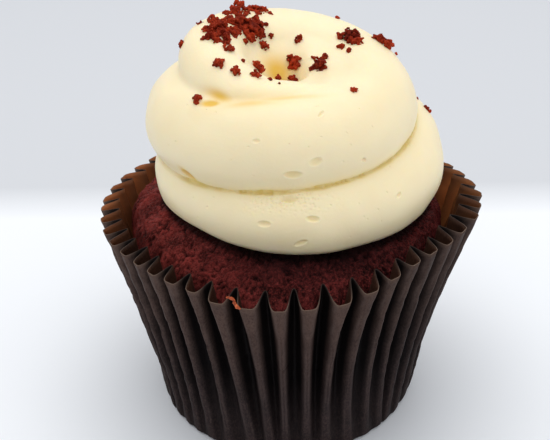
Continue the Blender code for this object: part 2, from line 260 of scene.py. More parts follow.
# Air pits in the frosting: pixel across and down, length and width in pixels, turn in degrees, depth (mm)
PITS = (
    (293, 175, 20, 9, 0, 0.55),
    (316, 162, 15, 9, -20, 0.40),
    (321, 114, 11, 4, -55, 0.25),
    (256, 141, 9, 5, 0, 0.25),
    (364, 160, 7, 5, 30, 0.30),
    (289, 199, 21, 8, 0, 0.50),
    (264, 224, 15, 7, 0, 0.35),
    (313, 219, 15, 7, 5, 0.45),
    (301, 243, 15, 6, -25, 0.45),
    (399, 195, 9, 5, -40, 0.30),
    (187, 175, 15, 8, 40, 1.00),
)
# Soft hollows in the same terms, and how deep their painted shade is
POCKETS = (
    (188, 175, 20, 10, 40, 0.50),
    (210, 103, 24, 10, 20, 0.30),
    (219, 96, 38, 14, 22, 0.25),
    (250, 103, 66, 13, 2, 0.05),
    (284, 98, 84, 11, -11, 0.04),
    (250, 100, 120, 28, 0, 0.0),
)
POCKET_TINTS = (1.8, 1.6, 1.0, 0.60, 0.55, 0.30)
# A pit is looked for this far along its normal, and out to this many half lengths
PIT_REACH_IN = 2.5 * MM
PIT_REACH_OUT = 2.5
# Fine bubbles scattered over the front, and a frothy patch in the same terms as a pit
BUBBLES = 45
BUBBLE_SEED = 5
FROTH = (288, 200, 96, 30, 0, 0.30)
# The deepest part of the hollow on top, which gets painted shade: pixel across and down, reach (mm)
DEEPEST = (278, 72, 3.2)

# Crumbs: pixel across and down, breadth (mm)
CRUMBS = (
    (200, 23, 1.1), (182, 44, 1.5), (214, 21, 2.6), (218, 29, 3.2), (212, 36, 2.3), (224, 35, 2.6),
    (231, 32, 2.2), (227, 13, 1.4), (239, 4, 2.0), (236, 12, 2.2), (242, 22, 3.2), (250, 27, 3.0),
    (260, 25, 2.3), (260, 33, 1.9), (250, 37, 2.2), (253, 9, 2.2), (263, 10, 1.9), (229, 48, 1.9),
    (264, 45, 1.6), (298, 38, 1.6), (219, 62, 1.9), (236, 70, 1.8), (257, 67, 2.3), (256, 75, 1.7),
    (293, 61, 2.3), (292, 80, 1.9), (198, 98, 1.8), (319, 65, 3.0), (325, 57, 1.4), (349, 36, 3.1),
    (357, 41, 2.0), (341, 46, 1.4), (381, 38, 2.0), (388, 43, 2.0), (354, 89, 1.3), (427, 109, 1.4),
)
SMALL_CRUMBS = (
    (243, 60.6, 0.9), (271, 35, 0.9), (271, 13, 0.9), (270, 79, 0.9), (278, 77, 1.0), (279, 83, 0.5),
    (337, 18, 0.9), (374, 36, 0.9), (396, 53, 0.6), (417, 98, 0.8), (349, 50, 1.1), (348, 31, 1.4),
    (340, 36, 1.4), (355, 35, 1.8), (314, 57, 0.9), (290, 58, 1.2), (294, 65, 1.7), (244, 8, 1.0),
    (242, 16, 2.0), (207, 30, 1.6), (222, 24, 2.2), (226, 42, 1.3), (233, 22, 2.0), (236, 30, 2.0),
    (247, 33, 1.6), (256, 20, 1.8), (245, 41, 1.2), (234, 8, 1.6), (229, 18, 1.5), (258, 12, 1.3),
    (217, 40, 1.4), (204, 38, 1.0), (266, 24, 0.8), (248, 12, 1.2),
)
# A curled sliver: pixel across and down, distance in front of the axis (mm), radius (mm)
FLECK = (
    (226.5, 297.5, -38.0, 0.16),
    (230.0, 298.0, -38.2, 0.22),
    (233.5, 299.5, -38.5, 0.24),
    (234.5, 303.5, -38.9, 0.22),
    (237.0, 307.0, -39.3, 0.32),
    (239.5, 308.5, -39.5, 0.18),
)
FLECK_VOXEL = 0.1 * MM
# The crumbs that are darker than the others, and the reach of their colour
DARK_CRUMBS = ((242, 22), (250, 27), (319, 65), (349, 36))
DARK_REACH = 1.3 * MM
CRUMB_VOXEL = 0.125 * MM
CRUMB_SEED = 7
# How many pixels lower than listed the crumbs lie
CRUMB_LOWER = 0.5
# A crumb's middle stands off the frosting by this share of its breadth, and is then moved into
# its line of sight by at most that share
CRUMB_STANDOFF = 0.25
CRUMB_MOVE = 0.6
TOP_CLEARANCE = 0.1 * MM
# A pixel that misses the frosting is moved in steps towards this pixel
SWIRL_MIDDLE = (290, 110)
SIGHT_STEPS = 60

# Stage: half the floor's side (m), and how far back its colour turns darker (m)
FLOOR_HALF = 3.0
FLOOR_DARKER_FROM = 0.066
FLOOR_DARKER_TO = 0.084
WORLD_STRENGTH = 0.74
# Lamps: name, place, aim, size (m), power (W), colour
LAMPS = (
    ("side", (0.62, -0.10, 0.12), (0.0, 0.0, 0.03), 0.5, 0.5, (1.0, 0.99, 0.96)),
    ("overhead", (-0.03, 0.08, 0.62), (0.0, 0.0, 0.05), 0.7, 2.3, (1.0, 0.985, 0.95)),
)


# Mesh helpers

def linked(name, data):
    item = bpy.data.objects.new(name, data)
    bpy.context.scene.collection.objects.link(item)
    return item


def mesh_of(name, points, faces, materials):
    mesh = bpy.data.meshes.new(name)
    mesh.from_pydata(points.tolist(), [], faces)
    for material in materials:
        mesh.materials.append(material)
    mesh.polygons.foreach_set("use_smooth", [True] * len(mesh.polygons))
    mesh.update()
    return linked(name, mesh)


def evaluated_mesh(item):
    bpy.context.view_layer.update()
    graph = bpy.context.evaluated_depsgraph_get()
    return bpy.data.meshes.new_from_object(item.evaluated_get(graph))


def apply_modifiers(item):
    mesh = evaluated_mesh(item)
    item.modifiers.clear()
    item.data = mesh


def one_skin(item, voxel):
    """Turn overlapping closed bodies into one closed skin."""
    skin = item.modifiers.new("one_skin", "REMESH")
    skin.mode = "VOXEL"
    skin.voxel_size = voxel
    apply_modifiers(item)


def dress(mesh, material):
    mesh.materials.clear()
    mesh.materials.append(material)
    mesh.polygons.foreach_set("use_smooth", [True] * len(mesh.polygons))


def points_of(mesh):
    points = np.zeros(len(mesh.vertices) * 3)
    mesh.vertices.foreach_get("co", points)
    return points.reshape(-1, 3)


def normals_of(mesh):
    normals = np.zeros(len(mesh.vertices) * 3)
    mesh.vertex_normals.foreach_get("vector", normals)
    return normals.reshape(-1, 3)


def set_points(mesh, points):
    mesh.vertices.foreach_set("co", points.astype(np.float32).ravel())
    mesh.update()


def edges_of(mesh):
    edges = np.zeros(len(mesh.edges) * 2, int)
    mesh.edges.foreach_get("vertices", edges)
    return edges.reshape(-1, 2)


def smoothed(points, edges, times):
    """Points drawn half way to the mean of their neighbours, a number of times."""
    count = len(points)
    ends = np.concatenate([edges[:, 0], edges[:, 1]])
    others = np.concatenate([edges[:, 1], edges[:, 0]])
    degree = np.maximum(np.bincount(ends, minlength=count), 1)[:, None]
    for _ in range(times):
        total = np.stack(
            [np.bincount(ends, weights=column[others], minlength=count) for column in points.T], 1
        )
        points = points + 0.5 * (total / degree - points)
    return points


def fractal(points, size, octaves=3, offset=0.0):
    """Fractal noise about zero, with lumps of a given size, at each point."""
    scaled = points / size + offset
    return np.array([noise.fractal(p, 0.8, 2.0, octaves) for p in scaled.tolist()])


def cells(points, size, offset=0.0):
    """Distance from each point to the middle of its nearest random cell, in cell sizes."""
    scaled = points / size + offset
    return np.array([noise.voronoi(p)[0][0] for p in scaled.tolist()])


def float_attribute(mesh, name, values):
    layer = mesh.attributes.new(name, "FLOAT", "POINT")
    layer.data.foreach_set("value", values.astype(np.float32))


# Material helpers

class Nodes:
    """Short names for building one node material."""

    def __init__(self, name):
        self.material = bpy.data.materials.new(name)
        self.material.use_nodes = True
        self.tree = self.material.node_tree
        self.shader = self.tree.nodes["Principled BSDF"]

    def add(self, kind, settings=None, **inputs):
        node = self.tree.nodes.new("ShaderNode" + kind)
        for key, value in (settings or {}).items():
            setattr(node, key, value)
        for key, value in inputs.items():
            self.feed(node, key.replace("_", " "), value)
        return node

    def feed(self, node, socket, value):
        if isinstance(value, bpy.types.NodeSocket):
            self.tree.links.new(value, node.inputs[socket])
        else:
            node.inputs[socket].default_value = value

    def place(self):
        return self.add("TexCoord").outputs["Object"]

    def noise(self, size, detail=3.0, roughness=0.5, stretch=(1.0, 1.0, 1.0)):
        where = self.add("Mapping", Vector=self.place(), Scale=[s / size for s in stretch])
        return self.add(
            "TexNoise", Vector=where.outputs[0], Scale=1.0, Detail=detail, Roughness=roughness
        ).outputs["Fac"]

    def cells(self, size):
        return self.add("TexVoronoi", Vector=self.place(), Scale=1.0 / size).outputs["Distance"]

    def attribute(self, name):
        return self.add("Attribute", {"attribute_name": name}).outputs["Fac"]

    def spread(self, value, low, high, to_low=0.0, to_high=1.0):
        node = self.add("MapRange", Value=value)
        ends = {"From Min": low, "From Max": high, "To Min": to_low, "To Max": to_high}
        for socket, number in ends.items():
            node.inputs[socket].default_value = number
        return node.outputs["Result"]

    def mix(self, share, first, second):
        node = self.add("Mix", {"data_type": "RGBA"})
        self.feed(node, 0, share)
        self.feed(node, 6, first)
        self.feed(node, 7, second)
        return node.outputs[2]

    def math(self, operation, first, second):
        node = self.add("Math", {"operation": operation})
        self.feed(node, 0, first)
        self.feed(node, 1, second)
        return node.outputs[0]

    def bump(self, height, distance, strength=1.0):
        return self.add("Bump", Height=height, Distance=distance, Strength=strength).outputs["Normal"]

    def finish(self, colour, roughness, normal=None, **constants):
        self.feed(self.shader, "Base Color", colour)
        self.feed(self.shader, "Roughness", roughness)
        if normal is not None:
            self.feed(self.shader, "Normal", normal)
        for key, value in constants.items():
            self.shader.inputs[key.replace("_", " ")].default_value = value
        return self.material


def rgb(red, green, blue):
    return (red, green, blue, 1.0)


# Materials

def paper_outside():
    n = Nodes("paper_outside")
    fibre = n.noise(0.30 * MM, 4.0, 0.65, (1.0, 1.0, 0.5))
    patch = n.noise(4.0 * MM, 3.0)
    height = n.add("SeparateXYZ", Vector=n.place()).outputs["Z"]
    # Painted shade: darker towards the foot, near the floor
    low = n.mix(n.spread(patch, 0.35, 0.65), rgb(0.020, 0.0135, 0.0140), rgb(0.033, 0.022, 0.0225))
    high = n.mix(n.spread(patch, 0.35, 0.65), rgb(0.056, 0.033, 0.027), rgb(0.086, 0.053, 0.043))
    colour = n.mix(n.spread(height, 16 * MM, 38 * MM), low, high)
    colour = n.mix(n.spread(fibre, 0.45, 0.72, 0.0, 0.30), colour, rgb(0.14, 0.092, 0.075))
    colour = n.mix(n.spread(fibre, 0.50, 0.30, 0.0, 0.45), colour, rgb(0.012, 0.0075, 0.0075))
    # Painted shade: the right side darker
    right = n.add("SeparateXYZ", Vector=n.place()).outputs["X"]
    colour = n.mix(n.spread(right, 8 * MM, 24 * MM, 0.0, 0.36), colour, rgb(0.006, 0.004, 0.004))
    # Painted shade in the valleys between the lobes, stronger higher up
    upper = n.spread(height, 5 * MM, 20 * MM, 0.5, 0.96)
    valley = n.math("MULTIPLY", n.spread(n.attribute("face"), 0.97, 0.45), upper)
    colour = n.mix(valley, colour, rgb(0.0022, 0.0016, 0.0019))
    colour = n.mix(n.spread(n.attribute("rim_lighter"), 0.2, 1.0, 0.0, 0.35), colour, rgb(0.15, 0.10, 0.078))
    # Light lines beside the folds: partly wear, partly painted highlight
    colour = n.mix(n.spread(n.attribute("folded"), 0.1, 1.0, 0.0, 0.22), colour, rgb(0.15, 0.11, 0.10))
    normal = n.bump(fibre, 0.05 * MM, 0.7)
    return n.finish(colour, n.spread(patch, 0.3, 0.7, 0.50, 0.65), normal, Specular_IOR_Level=0.04)


def paper_inside():
    n = Nodes("paper_inside")
    fibre = n.noise(0.30 * MM, 4.0, 0.65, (1.0, 1.0, 0.5))
    patch = n.noise(5.0 * MM, 2.0)
    where = n.add("SeparateXYZ", Vector=n.place())
    # Painted shade inside the front; at the right, greasy orange paper with a painted glow of light through
    # it
    dark = n.mix(n.spread(patch, 0.35, 0.65), rgb(0.020, 0.0085, 0.0055), rgb(0.034, 0.014, 0.008))
    warm = n.mix(n.spread(patch, 0.30, 0.60), rgb(0.23, 0.074, 0.026), rgb(0.38, 0.130, 0.048))
    grease_and_glow = n.mix(n.spread(patch, 0.35, 0.65), rgb(0.55, 0.19, 0.065), rgb(0.80, 0.30, 0.10))
    back = n.spread(where.outputs["Y"], -16 * MM, 2 * MM)
    right = n.spread(where.outputs["X"], 8 * MM, 30 * MM)
    colour = n.mix(back, dark, n.mix(right, warm, grease_and_glow))
    rim = n.spread(where.outputs["Z"], 38 * MM, 42 * MM)
    darker = n.math("MULTIPLY", rim, n.mix(right, rgb(0.30, 0.30, 0.30), rgb(0.72, 0.72, 0.72)))
    colour = n.mix(darker, colour, rgb(0.030, 0.013, 0.009))
    colour = n.mix(n.spread(fibre, 0.45, 0.75, 0.0, 0.2), colour, rgb(0.20, 0.08, 0.04))
    colour = n.mix(n.spread(n.attribute("face"), 0.75, 0.10, 0.0, 0.6), colour, rgb(0.026, 0.012, 0.008))
    normal = n.bump(fibre, 0.05 * MM, 0.7)
    return n.finish(colour, 0.5, normal, Specular_IOR_Level=0.12)


def paper_edge():
    n = Nodes("paper_edge")
    fibre = n.noise(0.2 * MM, 2.0)
    lobe = n.spread(n.attribute("face"), 0.4, 1.0)
    bare = n.mix(fibre, rgb(0.09, 0.060, 0.045), rgb(0.18, 0.125, 0.095))
    colour = n.mix(lobe, rgb(0.024, 0.015, 0.012), bare)
    return n.finish(colour, 0.6, Specular_IOR_Level=0.1)


def sponge():
    n = Nodes("sponge")
    grain = n.noise(0.34 * MM, 5.0, 0.72)
    fine = n.noise(0.15 * MM, 3.0, 0.6)
    pores = n.cells(0.55 * MM)
    patch = n.noise(4.0 * MM, 3.0)
    # Painted light: the left side of the cake lit, the right side in painted shade
    left = n.spread(n.add("SeparateXYZ", Vector=n.place()).outputs["X"], 2 * MM, -22 * MM)
    shaded_sponge = n.mix(n.spread(patch, 0.35, 0.65), rgb(0.048, 0.0058, 0.0058), rgb(0.140, 0.0185, 0.0185))
    lit_sponge = n.mix(n.spread(patch, 0.35, 0.65), rgb(0.092, 0.0125, 0.0100), rgb(0.29, 0.039, 0.032))
    colour = n.mix(left, shaded_sponge, lit_sponge)
    colour = n.mix(n.spread(grain, 0.48, 0.68, 0.0, 0.85), colour, rgb(0.34, 0.055, 0.048))
    colour = n.mix(n.spread(grain, 0.47, 0.32, 0.0, 0.95), colour, rgb(0.009, 0.0012, 0.0012))
    # Painted shade in the pores
    colour = n.mix(n.spread(pores, 0.24, 0.02, 0.0, 0.8), colour, rgb(0.005, 0.001, 0.001))
    # Painted glints on the fine crumb
    colour = n.mix(n.spread(fine, 0.62, 0.74, 0.0, 0.45), colour, rgb(0.40, 0.15, 0.14))
    # Painted shade in the carved pores and cracks
    colour = n.mix(n.spread(n.attribute("depth"), 0.0, 1.0, 0.0, 0.9), colour, rgb(0.006, 0.001, 0.001))
    # Darker where damp, with painted shade under the frosting at the front
    colour = n.mix(n.spread(n.attribute("damp_and_shade"), 0.0, 1.0, 0.0, 0.70), colour, rgb(0.010, 0.002, 0.003))
    # Painted shadow under the frosting's edge
    colour = n.mix(n.spread(n.attribute("contact_shadow"), 0.0, 0.8, 0.0, 0.85), colour, rgb(0.006, 0.001, 0.001))
    relief = n.math("ADD", n.spread(grain, 0.2, 0.8), n.spread(fine, 0.2, 0.8, 0.0, 0.4))
    relief = n.math("ADD", relief, n.spread(pores, 0.0, 0.25, -0.3, 0.0))
    normal = n.bump(relief, 0.30 * MM, 1.0)
    return n.finish(colour, n.spread(grain, 0.3, 0.7, 0.35, 0.7), normal, Specular_IOR_Level=0.08)


def loose_crumb():
    n = Nodes("loose_crumb")
    grain = n.noise(0.3 * MM, 4.0, 0.6)
    each = n.noise(2.2 * MM, 1.0)
    colour = n.mix(n.spread(each, 0.35, 0.65), rgb(0.15, 0.0095, 0.0030), rgb(0.38, 0.034, 0.0090))
    colour = n.mix(n.spread(grain, 0.5, 0.75, 0.0, 0.6), colour, rgb(0.56, 0.085, 0.034))
    colour = n.mix(n.spread(grain, 0.48, 0.28, 0.0, 0.8), colour, rgb(0.050, 0.003, 0.001))
    colour = n.mix(n.spread(n.attribute("dark"), 0.0, 1.0, 0.0, 0.75), colour, rgb(0.050, 0.004, 0.003))
    normal = n.bump(grain, 0.12 * MM, 0.8)
    return n.finish(colour, 0.6, normal, Specular_IOR_Level=0.05)


def orange_fleck():
    n = Nodes("fleck")
    grain = n.noise(0.4 * MM, 3.0)
    colour = n.mix(n.spread(grain, 0.35, 0.65), rgb(0.20, 0.030, 0.009), rgb(0.52, 0.110, 0.032))
    return n.finish(colour, 0.5, n.bump(grain, 0.08 * MM, 0.6), Specular_IOR_Level=0.2)


def icing():
    n = Nodes("icing")
    crease = n.attribute("crease")
    patch = n.noise(9.0 * MM, 2.0)
    bubbles = n.noise(0.5 * MM, 5.0, 0.6)
    colour = n.mix(n.spread(patch, 0.35, 0.65), rgb(0.905, 0.775, 0.500), rgb(0.925, 0.805, 0.535))
    # Painted shade in the folds and pits
    colour = n.mix(n.spread(crease, 0.05, 1.0, 0.0, 0.95), colour, rgb(0.78, 0.60, 0.17))
    # Painted shade in the soft hollows
    colour = n.mix(n.spread(n.attribute("pocket"), 0.0, 1.0, 0.0, 0.97), colour, rgb(0.80, 0.49, 0.055))
    normal = n.bump(bubbles, 0.05 * MM, 0.75)
    return n.finish(
        colour, 0.40, normal,
        Subsurface_Weight=0.25, Subsurface_Radius=(0.0030, 0.0018, 0.0007), Subsurface_Scale=1.0,
        Specular_IOR_Level=0.4,
    )


def floor_colour():
    n = Nodes("floor")
    back = n.add("SeparateXYZ", Vector=n.place()).outputs["Y"]
    further = n.spread(back, FLOOR_DARKER_FROM, FLOOR_DARKER_TO)
    colour = n.mix(further, rgb(0.86, 0.885, 0.93), rgb(0.62, 0.64, 0.68))
    return n.finish(colour, 0.85, Specular_IOR_Level=0.1)


# Case and cake

def around(angle, radius, height):
    """Points at angles about the case's axis, which leans from the base to the rim."""
    lean = np.minimum(height / RIM_HEIGHT, 1.0)
    return np.stack([
        radius * np.sin(angle) + lean * RIM_SHIFT[0],
        -radius * np.cos(angle) + lean * RIM_SHIFT[1],
        height + 0.0 * radius,
    ], -1)


def rim_radius(angle):
    radius = RIM_RADIUS
    for repeat, (front, right) in RIM_WAVES.items():
        radius = radius + front * np.cos(repeat * angle) + right * np.sin(repeat * angle)
    return radius


def base_radius(angle):
    return BASE_RADIUS + BASE_OVAL * np.cos(2 * angle)


def rim_height(angle):
    return RIM_HEIGHT + RIM_TILT_FRONT * np.cos(angle) + RIM_TILT_RIGHT * np.sin(angle)


def pressed_in(angle, rise):
    """How far the wall is pressed in towards its left and right ends."""
    left, right = (np.interp(rise, *zip(*table)) for table in (PRESSED_LEFT, PRESSED_RIGHT))
    return np.where(np.sin(angle) < 0.0, left, right) * MM * np.abs(np.sin(angle)) ** 3


def lobe_radius(angle, rise):
    spread = rise - WALL_HOLLOW * rise * (1.0 - rise)
    base = base_radius(angle)
    return base + (rim_radius(angle) - base) * spread - pressed_in(angle, rise)


def pleat_depth(rise):
    return np.interp(rise, *zip(*PLEAT_DEPTHS)) * MM


def uneven(low, high, rng):
    return np.array([rng.uniform(low, high) for _ in range(PLEATS)])


class Pleats:
    """How each pleat differs from the next."""

    def __init__(self):
        rng = random.Random(PLEAT_SEED)
        self.shifts = [uneven(-0.08, 0.08, rng), uneven(0.05, 0.35, rng), uneven(0.4, 0.8, rng)]
        self.drop = uneven(-0.1, 0.35, rng)
        self.lobe_in = uneven(-0.1, 0.2, rng) * MM
        self.fold_depth = uneven(0.82, 1.03, rng)
        self.breadth = uneven(0.75, 1.25, rng)
        self.tilt = uneven(-0.3, 0.3, rng)
        self.creased = np.isin(np.arange(PLEATS), CREASED_PLEATS) * uneven(0.6, 1.0, rng)
        self.crease_rise = CREASE_RISE + uneven(-0.012, 0.012, rng)
        for pleat, (shift, inward, drop) in LOBES.items():
            self.shifts[0][pleat], self.lobe_in[pleat], self.drop[pleat] = shift, inward * MM, drop
        for pleat, (middle, foot) in PLEAT_SHIFTS.items():
            self.shifts[1][pleat], self.shifts[2][pleat] = middle, foot

    def between(self, values, turn):
        """Values given at each whole turn, blended smoothly between one and the next."""
        index = np.floor(turn).astype(int) % PLEATS
        share = turn - np.floor(turn)
        share = share * share * (3.0 - 2.0 * share)
        return values[index] * (1.0 - share) + values[(index + 1) % PLEATS] * share

    def of_lobe(self, values, turn):
        return values[np.floor(turn).astype(int) % PLEATS]

    def angle(self, turn, rise):
        rim, middle, foot = (self.between(values, turn - 0.5) for values in self.shifts)
        shift = (
            foot * (1.0 - rise) * (1.0 - 2.0 * rise)
            + middle * 4.0 * rise * (1.0 - rise)
            + rim * rise * (2.0 * rise - 1.0)
        )
        return FIRST_LOBE + (turn + shift - 0.5) * math.tau / PLEATS

    def share(self, turn, rise):
        """0 at an inner fold and 1 on a lobe's face."""
        sharpness = np.interp(rise, *zip(*LOBE_BREADTHS)) * self.of_lobe(self.breadth, turn)
        inside = turn - np.floor(turn)
        inside = inside + self.of_lobe(self.tilt, turn) * inside * (1.0 - inside) * (2.0 * inside - 1.0) ** 2
        return 1.0 - np.abs(np.sin(np.pi * (inside - 0.5))) ** sharpness

    def wall(self, turn, rise, fill=1.0, clearance=0.0):
        """Radius of the wall, or of what fills its lobes by a share and keeps clear of it."""
        angle = self.angle(turn, rise)
        share = self.share(turn, rise)
        depth = pleat_depth(rise) * self.between(self.fold_depth, turn)
        inward = self.of_lobe(self.lobe_in, turn) * (SHIFT_AT_FOOT + (1.0 - SHIFT_AT_FOOT) * rise)
        return angle, lobe_radius(angle, rise) - inward * share - depth * (1.0 - fill * share) - clearance

    def crease(self, turn, rise):
        """Depth of the handling crease on a lobe."""
        apart = (rise - self.of_lobe(self.crease_rise, turn)) / CREASE_BREADTH
        depth = CREASE_DEPTH * self.of_lobe(self.creased, turn)
        return depth * np.exp(-apart ** 2) * self.share(turn, rise)


def grid_faces(rows, columns):
    """Quads of a grid whose rows are closed rings, bottom to top, facing out."""
    faces = []
    for row in range(rows - 1):
        start = row * columns
        for i in range(columns):
            j = (i + 1) % columns
            faces.append((start + i, start + j, start + columns + j, start + columns + i))
    return faces


def case_rises():
    """Shares of the wall's height, closest together at the foot and at the handling crease."""
    foot = [0.0, 0.012, 0.026, FOOT_RISE]
    low = np.linspace(0.07, 0.56, 18)
    creased = np.linspace(0.57, 0.63, 11)
    high = np.linspace(0.645, 1.0, 17)
    return np.concatenate([foot, low, creased, high])


def case_points(pleats, turn, rises):
    """The wall's rows from the foot to the rim, crinkled inward a little."""
    rows = []
    for rise in rises:
        angle, radius = pleats.wall(turn, rise)
        share = pleats.share(turn, rise)
        drop = pleats.of_lobe(pleats.drop, turn) * MM
        top = rim_height(angle) + INNER_FOLD_RISE * (1.0 - share) - drop * share
        corner = np.clip(1.0 - rise / FOOT_RISE, 0.0, 1.0)
        radius = radius - BASE_ROUNDING * (1.0 - np.sqrt(1.0 - corner ** 2)) - pleats.crease(turn, rise)
        rows.append(around(angle, radius, rise * top))
    points = np.concatenate(rows)
    crinkle = np.maximum(fractal(points, CRINKLE_SIZE, 3, 5.0) * CRINKLE_DEPTH + CRINKLE_INWARD, 0.0)
    crinkle *= np.minimum(np.repeat(rises, len(turn)) * 8.0, 1.0)
    outward = points * np.array([1.0, 1.0, 0.0])
    outward /= np.linalg.norm(outward, axis=1)[:, None]
    return points - outward * crinkle[:, None]


def build_case(pleats):
    even = np.arange(PLEATS * PLEAT_COLUMNS) / PLEAT_COLUMNS
    turn = even - 0.5 * np.sin(math.tau * even) / math.tau
    rises = case_rises()
    faces = grid_faces(len(rises), len(turn))
    faces.append(tuple(reversed(range(len(turn)))))
    papers = [paper_outside(), paper_inside(), paper_edge()]
    case = mesh_of("paper_case_pleated", case_points(pleats, turn, rises), faces, papers)
    share = np.concatenate([pleats.share(turn, rise) for rise in rises])
    rise = np.repeat(rises, len(turn))
    light_line = np.exp(-((share - LIGHT_LINE) / LIGHT_LINE_BREADTH) ** 2)
    float_attribute(case.data, "rim_lighter", share * np.exp(-((rise - 1.0) / RIM_LIGHTER_RISE) ** 2))
    # Light lines beside the folds: partly wear, partly painted highlight
    float_attribute(case.data, "folded", light_line * np.clip(rise * 4.0, 0.0, 1.0))
    float_attribute(case.data, "face", share)
    wall = case.modifiers.new("paper", "SOLIDIFY")
    wall.thickness = PAPER_THICKNESS
    wall.offset = -1.0
    wall.material_offset = 1
    wall.material_offset_rim = 2
    return case


def dome_height(radius):
    return DOME_TOP - DOME_FALL * radius * radius


def cake_rows(pleats, turn):
    """Rings up the cake's side, then in over its shoulder and its dome."""
    even_angle = FIRST_LOBE + (turn - 0.5) * math.tau / PLEATS
    front = np.clip(np.cos(even_angle), 0.0, 1.0) ** 2
    rows = []
    for height in (*HIDDEN_HEIGHTS, *np.linspace(SHOWN_HEIGHT, EDGE_HEIGHT, 12)):
        rise = height * MM / rim_height(even_angle)
        angle, radius = pleats.wall(turn, rise, CAKE_FILL * front, CAKE_CLEARANCE)
        radius = radius - DRAWN_IN * (rise * np.sin(even_angle)) ** 2
        if height == HIDDEN_HEIGHTS[0]:
            radius = radius - CAKE_BEVEL
        rows.append(around(angle, radius, height * MM))
    for share in np.concatenate([np.linspace(0.995, 0.50, 64), [0.4, 0.25, 0.12]]):
        height = dome_height(radius * share)
        shoulder = np.clip((share - SHOULDER_START) / SHOULDER_BREADTH, 0.0, 1.0)
        rounding = (1.0 - np.sqrt(1.0 - shoulder ** 2)) * SHOULDER_ROUNDING
        height = height - (height - EDGE_HEIGHT * MM) * rounding
        rows.append(around(angle, radius * share, height))
    return rows


def build_cake(pleats):
    turn = np.arange(CAKE_COLUMNS) * PLEATS / CAKE_COLUMNS
    rows = cake_rows(pleats, turn)
    top = around(np.zeros(1), np.zeros(1), np.array([DOME_TOP]))
    points = np.concatenate(rows + [top])
    faces = grid_faces(len(rows), CAKE_COLUMNS)
    faces.append(tuple(reversed(range(CAKE_COLUMNS))))
    last = (len(rows) - 1) * CAKE_COLUMNS
    tip = len(points) - 1
    faces += [(last + i, last + (i + 1) % CAKE_COLUMNS, tip) for i in range(CAKE_COLUMNS)]
    cake = mesh_of("cake_sponge", points, faces, [sponge()])
    roughen_cake(cake.data)
    return cake


def cake_relief(points):
    """Height of the soft lumps, height of the fine crumb, and depth of the pores and cracks."""
    lumps = fractal(points, 4.0 * MM, 2, 3.0) * 0.45 * MM
    crumb = fractal(points, 0.75 * MM, 4, 9.0) * 0.40 * MM
    grains = (0.45 - cells(points, 0.60 * MM, 31.0)) * 0.28 * MM
    cracked = np.clip(1.0 - np.abs(fractal(points, 2.4 * MM, 2, 61.0)) / 0.10, 0.0, 1.0)
    cracked *= np.clip(fractal(points, 5.0 * MM, 2, 71.0) * 2.0 + 0.5, 0.0, 1.0)
    pore = np.clip(0.42 - cells(points, 1.3 * MM, 4.0), 0.0, 1.0) / 0.42
    deep = np.clip(fractal(points, 3.0 * MM, 2, 17.0) * 1.6 - 0.1, 0.0, 1.0)
    return lumps, crumb + grains, pore ** 0.7 * deep * PORE_DEPTH + cracked * CRACK_DEPTH


def damp_and_shade_ring(points):
    """1 on the cake beside the frosting at the front, darker as it is damp and with painted shade under the
    frosting, with an uneven outer edge.
    """
    right, back = points[:, 0] / MM, points[:, 1] / MM
    away = np.hypot(right - SWIRL_CENTRE.x / MM, back - SWIRL_CENTRE.y / MM)
    uneven_edge = fractal(points, 4.0 * MM, 2, 41.0) * 1.5
    front = np.clip((-back - 4.0) / 16.0, 0.0, 1.0)
    middle = np.clip((right + 16.0) / 14.0, 0.0, 1.0) * np.clip((32.0 - right) / 20.0, 0.0, 1.0)
    return front * middle * np.clip((32.5 - away + uneven_edge) / 5.0, 0.0, 1.0)


def roughen_cake(mesh):
    """Crumb, pores and soft lumps where the cake shows, marked for their painted shade and damp."""
    points = points_of(mesh)
    reach = np.hypot(points[:, 0], points[:, 1])
    seen = (points[:, 2] > SEEN_ABOVE) & (reach > SEEN_BEYOND)
    lumps, fine, sunk = cake_relief(points[seen])
    push = np.minimum(lumps + fine, RELIEF_LIMIT) - sunk
    points[seen] += normals_of(mesh)[seen] * push[:, None]
    set_points(mesh, points)
    depth = np.zeros(len(points))
    # Painted shade in the carved pores and cracks
    depth[seen] = np.clip(sunk / (0.45 * MM) - fine / (0.40 * MM), 0.0, 1.0)
    gap = np.full(len(points), FAR_FROM_CONTACT)
    gap[seen] = np.maximum(coil_gaps(points[seen])[1].min(1), 0.0)
    float_attribute(mesh, "depth", depth)
    float_attribute(mesh, "contact_shadow", np.exp(-(gap / CONTACT_REACH) ** 2))
    float_attribute(mesh, "damp_and_shade", damp_and_shade_ring(points))


# Frosting

def swirl_value(turn, column):
    """Smooth value of one column of SWIRL between its rows."""
    turns = [row[0] for row in SWIRL]
    values = [row[column] for row in SWIRL]
    index = max(i for i in range(len(turns) - 1) if turns[i] <= turn or i == 0)
    slopes = []
    for i in (index, index + 1):
        before, after = max(i - 1, 0), min(i + 1, len(turns) - 1)
        slopes.append((values[after] - values[before]) / (turns[after] - turns[before]))
    span = turns[index + 1] - turns[index]
    t = (turn - turns[index]) / span
    start, end = values[index], values[index + 1]
    return (
        start * (2 * t ** 3 - 3 * t ** 2 + 1)
        + end * (3 * t ** 2 - 2 * t ** 3)
        + slopes[0] * span * (t ** 3 - 2 * t ** 2 + t)
        + slopes[1] * span * (t ** 3 - t ** 2)
    )


def coil_line(steps_per_turn):
    """Turn, centre and radius at each step along the rope."""
    first, last = SWIRL[0][0], SWIRL[-1][0]
    turns = np.linspace(first, last, int((last - first) * steps_per_turn) + 1)
    angles = turns * math.tau - math.pi / 2
    distance, height, radius = (np.array([swirl_value(t, k) for t in turns]) * MM for k in (1, 2, 3))
    right = SWIRL_CENTRE.x + distance * np.sin(angles)
    back = SWIRL_CENTRE.y - distance * np.cos(angles)
    return turns, np.stack([right, back, height], 1), radius


